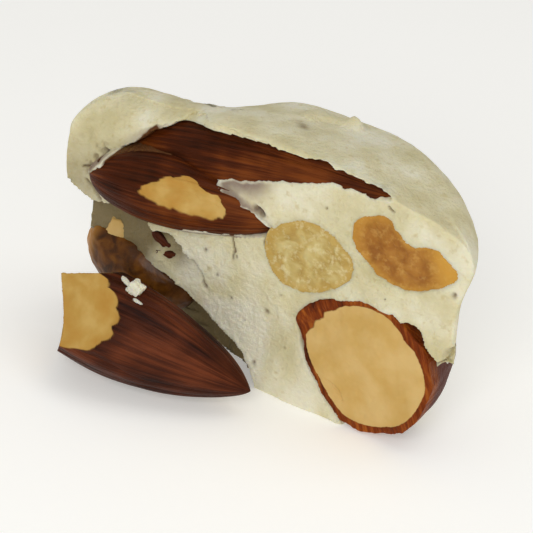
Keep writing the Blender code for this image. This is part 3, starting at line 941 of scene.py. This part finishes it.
def cut_nut(outline, centre, deep, seed, relief, rows=60, columns=260):
    """A cut nut: a rough face just behind the nougat's, a little wider than its opening, and a round back."""
    turn = np.linspace(-math.pi, math.pi, columns, endpoint=False)
    radius = outline_radius(outline, centre, turn) + UNDER_EDGE
    size, back = half_ellipse(24)
    size = np.concatenate([np.linspace(0.0, 1.0, rows), size])[:, None]
    back = np.concatenate([np.zeros(rows), back])[:, None]
    x = centre[0] + size * radius * np.cos(turn)
    z = centre[1] + size * radius * np.sin(turn)
    chips = relief * rough(x, 0.0, z, 1.0, seed) + 0.3 * relief * noise(x, 0.0, z, 0.3, seed + 5)
    y = face_surface(x, z) + BEHIND_FACE + chips * smooth(1.0, 0.8, size) + deep * back
    rim = np.where(back > 0.0, 1.0, smooth(0.62, 0.98, size)) + 0.0 * x
    return np.stack([x, y, z], axis=-1), rim


pale_points, rim = cut_nut(PALE_SHOWS, centre=(5.1, 14.9), deep=3.6, seed=151, relief=0.13)
grid_piece("nut_pale_cut", pale_points, {"rim": rim}, ("nut_pale",))

roasted_points, rim = cut_nut(ROASTED_SHOWS, centre=(13.2, 17.6), deep=2.8, seed=161, relief=0.12)
leaning_x = roasted_points[..., 0] - 0.4 * (GOLDEN_HEIGHT - roasted_points[..., 2])
tip = smooth(GOLDEN_FROM, GOLDEN_TO, leaning_x)
rim = np.maximum(0.6 * rim, tip)
grid_piece("nut_roasted_cut", roasted_points, {"rim": rim}, ("nut_roasted",))

# %% [markdown]
# ## The almond in the corner
#
# The knife cut this almond at a slant. Its kernel is a smooth oval, and the skin round it was torn
# as it was cut: a thick ragged stump at the upper left, a thread elsewhere. At the right the nougat
# is missing, so the brown flank shows. The grid has three parts: the kernel's disc, the skin's edge,
# and the flank that closes behind. The skin's streaks run along the oval, and the flank is darker
# than the torn edge, because only the edge shows the inside of the skin.

# %% Corner almond
KERNEL_CUT = [
    (5.6, 7.0), (5.9, 8.1), (6.6, 9.4), (8.0, 10.8), (9.6, 11.8), (11.3, 12.2), (12.8, 12.1),
    (14.2, 11.3), (15.0, 10.4), (16.0, 9.8), (16.8, 8.5), (17.3, 6.9), (17.2, 5.4), (16.6, 3.8),
    (15.4, 2.4), (13.6, 1.4), (11.8, 1.0), (10.0, 1.3), (8.3, 2.8), (6.5, 4.9),
]
SKIN_CUT = [
    (5.2, 7.0), (4.7, 8.6), (5.0, 9.7), (6.0, 10.8), (7.7, 11.8), (10.3, 12.6), (11.6, 12.8),
    (13.0, 12.4), (14.5, 11.7), (15.7, 10.9), (16.7, 10.1), (17.4, 8.8), (17.8, 7.0), (17.7, 5.2),
    (17.2, 3.6), (16.2, 2.2), (14.8, 1.2), (13.0, 0.6), (11.8, 0.4), (9.8, 0.6), (7.8, 2.4), (6.1, 4.7),
]
CORNER_MIDDLE = (11.6, 6.6)
CORNER_DEEP, CORNER_PROUD = 10.2, 0.06
CORNER_LENGTHWISE = math.radians(-68.0)
STUMP_AT, STUMP_SPREAD = math.radians(147.0), 0.42
KERNEL_SPLIT = [(8.0, 3.9), (8.8, 3.6), (9.4, 3.2), (9.8, 2.5)]


def corner_almond(columns=360, disc_rows=90, skin_rows=10, back_rows=70):
    """Kernel disc, torn skin edge and flank, all as rings round the middle of the cut."""
    turn = np.linspace(-math.pi, math.pi, columns, endpoint=False)
    c, s = np.cos(turn), np.sin(turn)
    kernel = outline_radius(KERNEL_CUT, CORNER_MIDDLE, turn)
    skin = outline_radius(SKIN_CUT, CORNER_MIDDLE, turn)
    thick = bump(np.angle(np.exp(1j * (turn - STUMP_AT))), 0.0, STUMP_SPREAD)
    kernel = kernel - 0.30 * thick * (0.4 + noise(7 * c, 7 * s, 0.0, 0.55, 181))
    kernel = kernel - 0.06 * np.abs(noise(9 * c, 9 * s, 0.0, 0.3, 182))
    out, back = half_ellipse(back_rows)
    out = out**0.75
    disc = np.linspace(0.0, 1.0, disc_rows)[:, None]
    step = np.linspace(0.0, 1.0, skin_rows + 1)[1:, None]
    size = np.concatenate([disc * kernel, kernel + step * (skin - kernel), out[:, None] * skin])
    back = np.concatenate([np.zeros((disc_rows + skin_rows, 1)), back[:, None]])
    on_skin = np.concatenate([0.0 * disc, step, 1.0 + 0.0 * out[:, None]])
    x, z = CORNER_MIDDLE[0] + size * c, CORNER_MIDDLE[1] + size * s
    ridges = 0.10 * np.abs(noise(16 * c, 16 * s, 2.0 * back, 0.9, 184))
    ridges = ridges + 0.12 * noise(5 * c, 5 * s, 3.0 * back, 1.0, 186)
    x, z = x + ridges * on_skin * c, z + ridges * on_skin * s
    split = line_distance(x, z, KERNEL_SPLIT)
    torn = (0.10 - 0.42 * thick) * np.minimum(on_skin, 1.0) * (1.0 - back)
    y = face_surface(x, z) - CORNER_PROUD + torn + CORNER_DEEP * back
    y = y + (0.14 * bump(split, 0.0, 0.1) + 0.03 * rough(x, 0.0, z, 2.2, 188)) * (on_skin == 0.0)
    points = np.stack([x, y, np.maximum(z, 0.05)], axis=-1)
    on_kernel = np.stack([y, size * c, size * s], axis=-1)
    lengthwise = turn - CORNER_LENGTHWISE
    along_skin = np.stack([size * np.cos(lengthwise), size * np.sin(lengthwise), y], axis=-1)
    local = np.where(on_skin[..., None] > 0.0, along_skin, on_kernel)
    return points, {
        "grain": local,
        "bare": np.where(on_skin > 0.0, 0.0, 1.0) + 0.0 * x,
        "outer": smooth(0.02, 0.22, back) + 0.0 * x,
    }


corner_points, corner_fields = corner_almond()
grid_piece("almond_cut", corner_points, corner_fields, ("almond_corner",))

# %% [markdown]
# ## Round nuts
#
# A roasted nut lies deep in the hollow, and others stand half out of the pressed side. Each is an
# ellipsoid whose ends bend up, with a lumpy skin.

# %% Round nuts
ROUND_NUTS = (
    ("nut_in_hollow", "nut_side", "roasted_nut", (-13.4, 3.7, 5.8), (5.9, 3.1, 3.4), 0.01, 14.0, 191),
    ("nut_behind", "nut_rear", "roasted_nut", (-7.5, 10.2, 10.5), (6.6, 3.3, 3.0), 0.06, 28.0, 201),
    ("nut_chip_behind", "nut_chip", "pale_nut", (10.0, 9.4, 15.0), (3.0, 2.6, 2.1), 0.03, -35.0, 211),
)
NUT_LUMPS = 0.05
LIT_END_FROM, LIT_END_TO = -16.6, -18.4


def unit_ball(rows, columns):
    """Points on a ball of radius 1: rings of sine t round X, at minus cosine t along it."""
    t = np.linspace(0.0, math.pi, rows)
    angle = np.linspace(0.0, 2.0 * math.pi, columns, endpoint=False)
    t, angle = np.meshgrid(t, angle, indexing="ij")
    return np.stack([-np.cos(t), np.sin(t) * np.cos(angle), np.sin(t) * np.sin(angle)], axis=-1)


def round_nut(centre, half, bend, turn, seed, rows=90, columns=140):
    """An ellipsoid along X whose ends bend up by a share of the squared distance, then turned about Y."""
    unit = unit_ball(rows, columns)
    swell = 1.0 + NUT_LUMPS * rough(*np.moveaxis(4.0 * unit, -1, 0), 1.6, seed)
    local = unit * np.array(half) * swell[..., None]
    local[..., 2] += bend * local[..., 0] ** 2
    return local @ turned_about_y(turn) + np.array(centre)


for name, node, slot, *measures in ROUND_NUTS:
    points = round_nut(*measures)
    # Painted highlight: the left end of the nut in the hollow, which reaches out into the light, gets the
    # lighter rim colour.
    lit_end = smooth(LIT_END_FROM, LIT_END_TO, points[..., 0]) * (node == "nut_side")
    grid_piece(name, points, {"rim": lit_end}, (node,))

# %% [markdown]
# ## Crumbs
#
# Cutting leaves small pieces: a bit of kernel stuck in the torn recess, shreds of brown skin beside
# it, white crumbs on the broken almond and a flake at the tip of the scraped one. Each is a lumpy
# ellipsoid. Squeezing its rings towards a box makes the crumbs look broken and not rolled.

# %% Crumbs and shreds
CRUMB_GRID = (26, 44)
CRUMB_LUMPS = 0.22
CRUMBS = (
    ("kernel_bit", (-15.3, 2.6, 9.2), (1.2, 0.7, 1.25), 10.0, 0.25, "almond_kernel", 221, "bare", 1.0),
    ("skin_shred_a", (-9.9, 1.0, 10.7), (1.2, 0.4, 0.5), 30.0, 0.2, "almond_skin", 231, "bare", 0.0),
    ("skin_shred_b", (-9.3, 0.75, 9.7), (1.0, 0.4, 0.4), -10.0, 0.2, "almond_skin", 241, "bare", 0.0),
    ("white_crumb", (-7.9, -6.2, 9.7), (0.62, 0.5, 0.72), 30.0, 0.7, "nougat_body", 251, "airy", 1.0),
    ("white_flake_a", (-9.0, -6.0, 9.9), (0.6, 0.25, 0.14), 35.0, 0.3, "nougat_body", 261, "airy", 1.0),
    ("white_flake_b", (-7.2, -6.8, 8.9), (0.5, 0.25, 0.14), 20.0, 0.3, "nougat_body", 271, "airy", 1.0),
    ("tip_flake", (0.2, -0.35, 17.2), (1.5, 0.2, 0.28), 27.0, 0.4, "nougat_body", 281, "airy", 0.6),
)


def crumb_piece(name, centre, half, turn, square, slot, seed, field, value):
    """An ellipsoid whose radius is pushed out towards a box by the given share, with strong lumps."""
    unit = unit_ball(*CRUMB_GRID)
    boxy = 1.0 / np.abs(unit).max(axis=-1)
    lumps = CRUMB_LUMPS * rough(*np.moveaxis(3 * unit, -1, 0), 1.1, seed)
    local = unit * (1.0 + square * (boxy - 1.0) + lumps)[..., None] * np.array(half)
    points = local @ turned_about_y(turn) + np.array(centre)
    fields = {field: np.full(points.shape[:2], value), "grain": local}
    return grid_piece(name, points, fields)


for crumb in CRUMBS:
    crumb_piece(*crumb)

# %% [markdown]
# ## Materials
#
# Light is mixed in linear numbers, while colours are easiest to read as sRGB hex values, so one
# function turns hex into linear colour. Another adds a node with its settings and its links.

# %% Colour and node helpers
def linear(hex_colour):
    """A hex sRGB colour as linear red, green, blue and alpha 1."""
    parts = [int(hex_colour[i:i + 2], 16) / 255.0 for i in (1, 3, 5)]
    return (*(c / 12.92 if c <= 0.04045 else ((c + 0.055) / 1.055) ** 2.4 for c in parts), 1.0)


def add(tree, kind, settings=None, **links):
    """Adds a node, sets its properties and plain inputs, and links sockets.

    A link is named for its input, or i and the input's number. Hex colours are made linear, and
    "stops" fills a colour ramp with pairs of position and colour.
    """
    node = tree.nodes.new(kind)
    for key, value in (settings or {}).items():
        if key == "stops":
            elements = node.color_ramp.elements
            while len(elements) < len(value):
                elements.new(0.5)
            for element, (position, colour) in zip(elements, value):
                element.position, element.color = position, linear(colour)
        elif isinstance(key, int) or key in node.inputs:
            node.inputs[key].default_value = linear(value) if isinstance(value, str) else value
        else:
            setattr(node, key, value)
    for key, socket in links.items():
        tree.links.new(socket, node.inputs[int(key[1:]) if key[1:].isdigit() else key])
    return node


def new_material(name, settings):
    """An empty Principled material; returns it with its tree and shader."""
    made = bpy.data.materials.new(name)
    made.use_nodes = True
    tree = made.node_tree
    shader = tree.nodes["Principled BSDF"]
    for key, value in settings.items():
        shader.inputs[key].default_value = value
    return made, tree, shader


def tinted(tree, colour, tints):
    """A colour mixed with others one after the other; tints are pairs of amount and hex colour."""
    for amount, tint in tints:
        mix = add(tree, "ShaderNodeMix", {"data_type": "RGBA", 7: tint}, i0=amount, i6=colour)
        colour = mix.outputs[2]
    return colour


def per_mm(size):
    """A noise scale whose lumps are about size mm wide, on coordinates in metres."""
    return 1.0 / (size * MM)


print("mid grey is", round(linear("#808080")[0], 3), "in linear light")

# %% [markdown]
# ### White nougat
#
# Egg-white nougat is a stiff foam of sugar and honey. Light goes a millimetre or so into it and
# comes out warmer, which subsurface scattering gives. Its surface is matt, with fine pores.

# %% Nougat material
NOUGAT_SHADES = [(0.32, "#D3C89B"), (0.50, "#E2D9B2"), (0.68, "#EEE8CC")]
NOUGAT_FLECK, FLECK_SHARE = "#C9B77C", 0.45
# The hollow tint is painted shade on the lobe's underside, in the recess and in the hollow. The stain tint
# holds real stains and also painted shade in pits, cracks, the torn patch and the seam between the almonds.
NOUGAT_TINTS = (("thin", "#8A7468"), ("airy", "#EFE9D0"), ("hollow", "#80704B"), ("stain", "#5E3817"))


def nougat_material():
    """Cream foam: blotches 3 mm wide, pores 0.3 mm wide, tinted where thin and where stained, with painted
    shade in hollows, pits and cracks.
    """
    made, tree, shader = new_material("whipped_egg_white_nougat", {
        "Roughness": 0.6, "Subsurface Weight": 0.4, "Subsurface Scale": 0.001,
        "Subsurface Radius": (1.0, 0.75, 0.4), "Specular IOR Level": 0.2,
    })
    place = add(tree, "ShaderNodeTexCoord").outputs["Object"]
    blotch = add(tree, "ShaderNodeTexNoise", {"Scale": per_mm(3.5), "Detail": 4.0}, Vector=place)
    base = add(tree, "ShaderNodeValToRGB", {"stops": NOUGAT_SHADES}, Fac=blotch.outputs["Fac"])
    fine = add(tree, "ShaderNodeTexNoise", {"Scale": per_mm(0.6), "Detail": 4.0}, Vector=place)
    black_to_white = {"stops": [(0.58, "#000000"), (0.72, "#FFFFFF")]}
    fleck = add(tree, "ShaderNodeValToRGB", black_to_white, Fac=fine.outputs["Fac"])
    share = add(tree, "ShaderNodeMath", {"operation": "MULTIPLY", 1: FLECK_SHARE}, i0=fleck.outputs["Color"])
    tints = [(share.outputs[0], NOUGAT_FLECK)]
    for name, tint in NOUGAT_TINTS:
        tints.append((add(tree, "ShaderNodeAttribute", {"attribute_name": name}).outputs["Fac"], tint))
    tree.links.new(tinted(tree, base.outputs["Color"], tints), shader.inputs["Base Color"])
    pore_sizes = {"Scale": per_mm(0.35), "Detail": 5.0, "Roughness": 0.6}
    pores = add(tree, "ShaderNodeTexNoise", pore_sizes, Vector=place)
    relief = add(tree, "ShaderNodeBump", {"Strength": 1.0, "Distance": 0.00028}, Height=pores.outputs["Fac"])
    tree.links.new(relief.outputs["Normal"], shader.inputs["Normal"])
    return made


nougat_finish = nougat_material()
print("made", nougat_finish.name)

# %% [markdown]
# ### Almond skin and kernel
#
# Almond skin is thin brown paper-like bran with ridges that run to the tip. It is matt, with a faint
# gloss on the ridges. Where it is scraped or cut away, the kernel shows: ivory, smooth and waxy.

# %% Almond materials
OUTER_FLANK = "#55200E"


def almond_material(name, dark, middle, light, kernel):
    """Skin with streaks along the nut, 6 mm long and 0.5 mm wide, and kernel where the nut is bare."""
    made, tree, shader = new_material(name, {
        "Roughness": 0.45, "Subsurface Weight": 0.05, "Subsurface Scale": 0.0006,
        "Specular IOR Level": 0.08,
    })
    grain, bare, outer = (
        add(tree, "ShaderNodeAttribute", {"attribute_name": field}).outputs[socket]
        for field, socket in (("grain", "Vector"), ("bare", "Fac"), ("outer", "Fac"))
    )
    long_way = add(tree, "ShaderNodeMapping", {"Scale": (0.10, 2.6, 2.6)}, Vector=grain).outputs["Vector"]
    streak_sizes = {"Scale": 1.0, "Detail": 5.0, "Roughness": 0.65}
    streak = add(tree, "ShaderNodeTexNoise", streak_sizes, Vector=long_way).outputs["Fac"]
    patch = add(tree, "ShaderNodeTexNoise", {"Scale": 0.2, "Detail": 2.0}, Vector=grain).outputs["Fac"]
    both = add(tree, "ShaderNodeMath", {"operation": "ADD"}, i0=streak, i1=patch).outputs[0]
    half = add(tree, "ShaderNodeMath", {"operation": "MULTIPLY", 1: 0.5}, i0=both).outputs[0]
    skin = add(tree, "ShaderNodeValToRGB", {"stops": [(0.38, dark), (0.5, middle), (0.62, light)]}, Fac=half)
    cloud = add(tree, "ShaderNodeTexNoise", {"Scale": 0.35, "Detail": 3.0}, Vector=grain).outputs["Fac"]
    flesh = add(tree, "ShaderNodeValToRGB", {"stops": kernel}, Fac=cloud)
    shaded = tinted(tree, skin.outputs["Color"], [(outer, OUTER_FLANK)])
    peeled = {"i0": bare, "i6": shaded, "i7": flesh.outputs["Color"]}
    colour = add(tree, "ShaderNodeMix", {"data_type": "RGBA"}, **peeled).outputs[2]
    tree.links.new(colour, shader.inputs["Base Color"])
    fine = add(tree, "ShaderNodeMapping", {"Scale": (0.5, 5.0, 5.0)}, Vector=grain).outputs["Vector"]
    ridges = add(tree, "ShaderNodeTexNoise", {"Scale": 1.0, "Detail": 4.0}, Vector=fine).outputs["Fac"]
    low = add(tree, "ShaderNodeMapRange", {"To Min": 0.7, "To Max": 0.06}, Value=bare).outputs["Result"]
    relief = add(tree, "ShaderNodeBump", {"Distance": 0.0002}, Height=ridges, Strength=low)
    tree.links.new(relief.outputs["Normal"], shader.inputs["Normal"])
    return made


KERNEL = [(0.35, "#C8A25C"), (0.5, "#CEAA68"), (0.65, "#D3B172")]
SCRAPED_KERNEL = [(0.35, "#B8893E"), (0.5, "#BE954B"), (0.65, "#C9A55F")]
skin = almond_material("ridged_almond_skin", "#2C1103", "#4C1F07", "#753A12", SCRAPED_KERNEL)
loose_skin = almond_material("light_almond_skin", "#25100A", "#48200F", "#6C351C", SCRAPED_KERNEL)
cut_almond = almond_material("cut_almond_kernel", "#3E1605", "#7A340C", "#A85C1E", KERNEL)
print("made", skin.name, loose_skin.name, "and", cut_almond.name)

# %% [markdown]
# ### Other nuts
#
# The pale nut was blanched, so its cut is ivory and grainy, with a golden rim where it was roasted.
# The brown ones are amber inside, with lighter crumbs where the knife crushed them. The nut in the
# hollow keeps its whole roasted surface, which is much darker than a cut one.

# %% Nut materials
def nut_material(name, stops, crumb, edge, crushed, roughness):
    """Grainy nut flesh: blotches 1.5 mm wide, crumbs 0.7 mm wide, and another colour at the rim, which on the
    nut in the hollow is a painted highlight.
    """
    made, tree, shader = new_material(name, {
        "Roughness": roughness, "Subsurface Weight": 0.25, "Subsurface Scale": 0.0008,
        "Subsurface Radius": (1.0, 0.6, 0.25), "Specular IOR Level": 0.25,
    })
    place = add(tree, "ShaderNodeTexCoord").outputs["Object"]
    rim = add(tree, "ShaderNodeAttribute", {"attribute_name": "rim"}).outputs["Fac"]
    cloud_sizes = {"Scale": per_mm(1.5), "Detail": 4.0, "Distortion": 0.8}
    cloud = add(tree, "ShaderNodeTexNoise", cloud_sizes, Vector=place).outputs["Fac"]
    base = add(tree, "ShaderNodeValToRGB", {"stops": stops}, Fac=cloud)
    crumb_sizes = {"Scale": per_mm(0.7), "Detail": 3.0, "Roughness": 0.7}
    bits = add(tree, "ShaderNodeTexNoise", crumb_sizes, Vector=place).outputs["Fac"]
    light = add(tree, "ShaderNodeValToRGB", {"stops": [(0.52, "#000000"), (0.66, "#FFFFFF")]}, Fac=bits)
    share = add(tree, "ShaderNodeMath", {"operation": "MULTIPLY", 1: crushed}, i0=light.outputs["Color"])
    colour = tinted(tree, base.outputs["Color"], [(rim, edge), (share.outputs[0], crumb)])
    tree.links.new(colour, shader.inputs["Base Color"])
    relief = add(tree, "ShaderNodeBump", {"Strength": 0.5, "Distance": 0.00012}, Height=bits)
    tree.links.new(relief.outputs["Normal"], shader.inputs["Normal"])
    return made


BLANCHED = [(0.35, "#B0924C"), (0.5, "#BFA663"), (0.65, "#CCB97C")]
ROASTED_INSIDE = [(0.34, "#8E5614"), (0.5, "#A26A22"), (0.66, "#B07A30")]
ROASTED_OUTSIDE = [(0.35, "#3E2003"), (0.5, "#583004"), (0.65, "#74450C")]
pale = nut_material("blanched_nut", BLANCHED, "#DDD0A0", "#BE9C50", 0.6, 0.55)
roasted = nut_material("roasted_nut_flesh", ROASTED_INSIDE, "#D8AC5C", "#CB9638", 0.3, 0.45)
# Its rim colour is the painted highlight on the lit left end of the nut in the hollow.
whole_roasted = nut_material("roasted_nut_surface", ROASTED_OUTSIDE, "#8A5A20", "#B07A30", 0.2, 0.4)
print("made", pale.name, roasted.name, "and", whole_roasted.name)

# %% [markdown]
# Crumbs and shreds have the finish of what they broke from.

# %% Each piece gets its finish
for finish, names in (
    (nougat_finish, ("nougat_piece", "white_crumb", "white_flake_a", "white_flake_b", "tip_flake")),
    (skin, ("almond_upper", "almond_lower")),
    (loose_skin, ("almond_broken", "skin_shred_a", "skin_shred_b")),
    (cut_almond, ("almond_cut", "kernel_bit")),
    (pale, ("nut_pale_cut", "nut_chip_behind")),
    (roasted, ("nut_roasted_cut",)),
    (whole_roasted, ("nut_in_hollow", "nut_behind")),
):
    for name in names:
        bpy.data.objects[name].data.materials.append(finish)
    print(finish.name, "is on", ", ".join(names))

# %% [markdown]
# ## Floor and light
#
# The piece stands on a plain pale floor. A large soft lamp near the camera lights the cut face, and
# a weaker one above keeps the top a step darker, as in the photograph.

# %% Floor and lights
FLOOR_COLOUR, FLOOR_SIZE, FLOOR_GLOW = "#F1F0EC", 3.0, 0.3
WORLD_COLOUR, WORLD_STRENGTH = "#FFFFFF", 0.42
LAMP_TARGET = (0.0, 0.0, 10.0)
LAMPS = (
    ("key", (90.0, -290.0, 200.0), 150.0, 0.5),
    ("fill_above", (120.0, 60.0, 380.0), 260.0, 0.3),
)


def soft_lamp(name, place, size, power):
    """A square area lamp at a place in mm, turned to face the piece."""
    data = bpy.data.lights.new(name, "AREA")
    data.size, data.energy = size * MM, power
    lamp = bpy.data.objects.new(name, data)
    bpy.context.scene.collection.objects.link(lamp)
    place, target = Vector(place) * MM, Vector(LAMP_TARGET) * MM
    turn = (place - target).to_track_quat("Z", "Y").to_matrix().to_4x4()
    lamp.matrix_world = Matrix.Translation(place) @ turn


bpy.ops.mesh.primitive_plane_add(size=FLOOR_SIZE)
floor = bpy.context.object
floor.name = "floor"
floor_finish = new_material("matt_white_board", {
    "Roughness": 0.9, "Base Color": linear(FLOOR_COLOUR),
    "Emission Color": linear(FLOOR_COLOUR), "Emission Strength": FLOOR_GLOW,
})[0]
floor.data.materials.append(floor_finish)
for lamp in LAMPS:
    soft_lamp(*lamp)
world = bpy.data.worlds.new("studio")
bpy.context.scene.world = world
world.use_nodes = True
background = world.node_tree.nodes["Background"]
background.inputs["Color"].default_value = linear(WORLD_COLOUR)
background.inputs["Strength"].default_value = WORLD_STRENGTH
bpy.context.scene.view_settings.view_transform = "Standard"
print("lamps:", [lamp[0] for lamp in LAMPS])
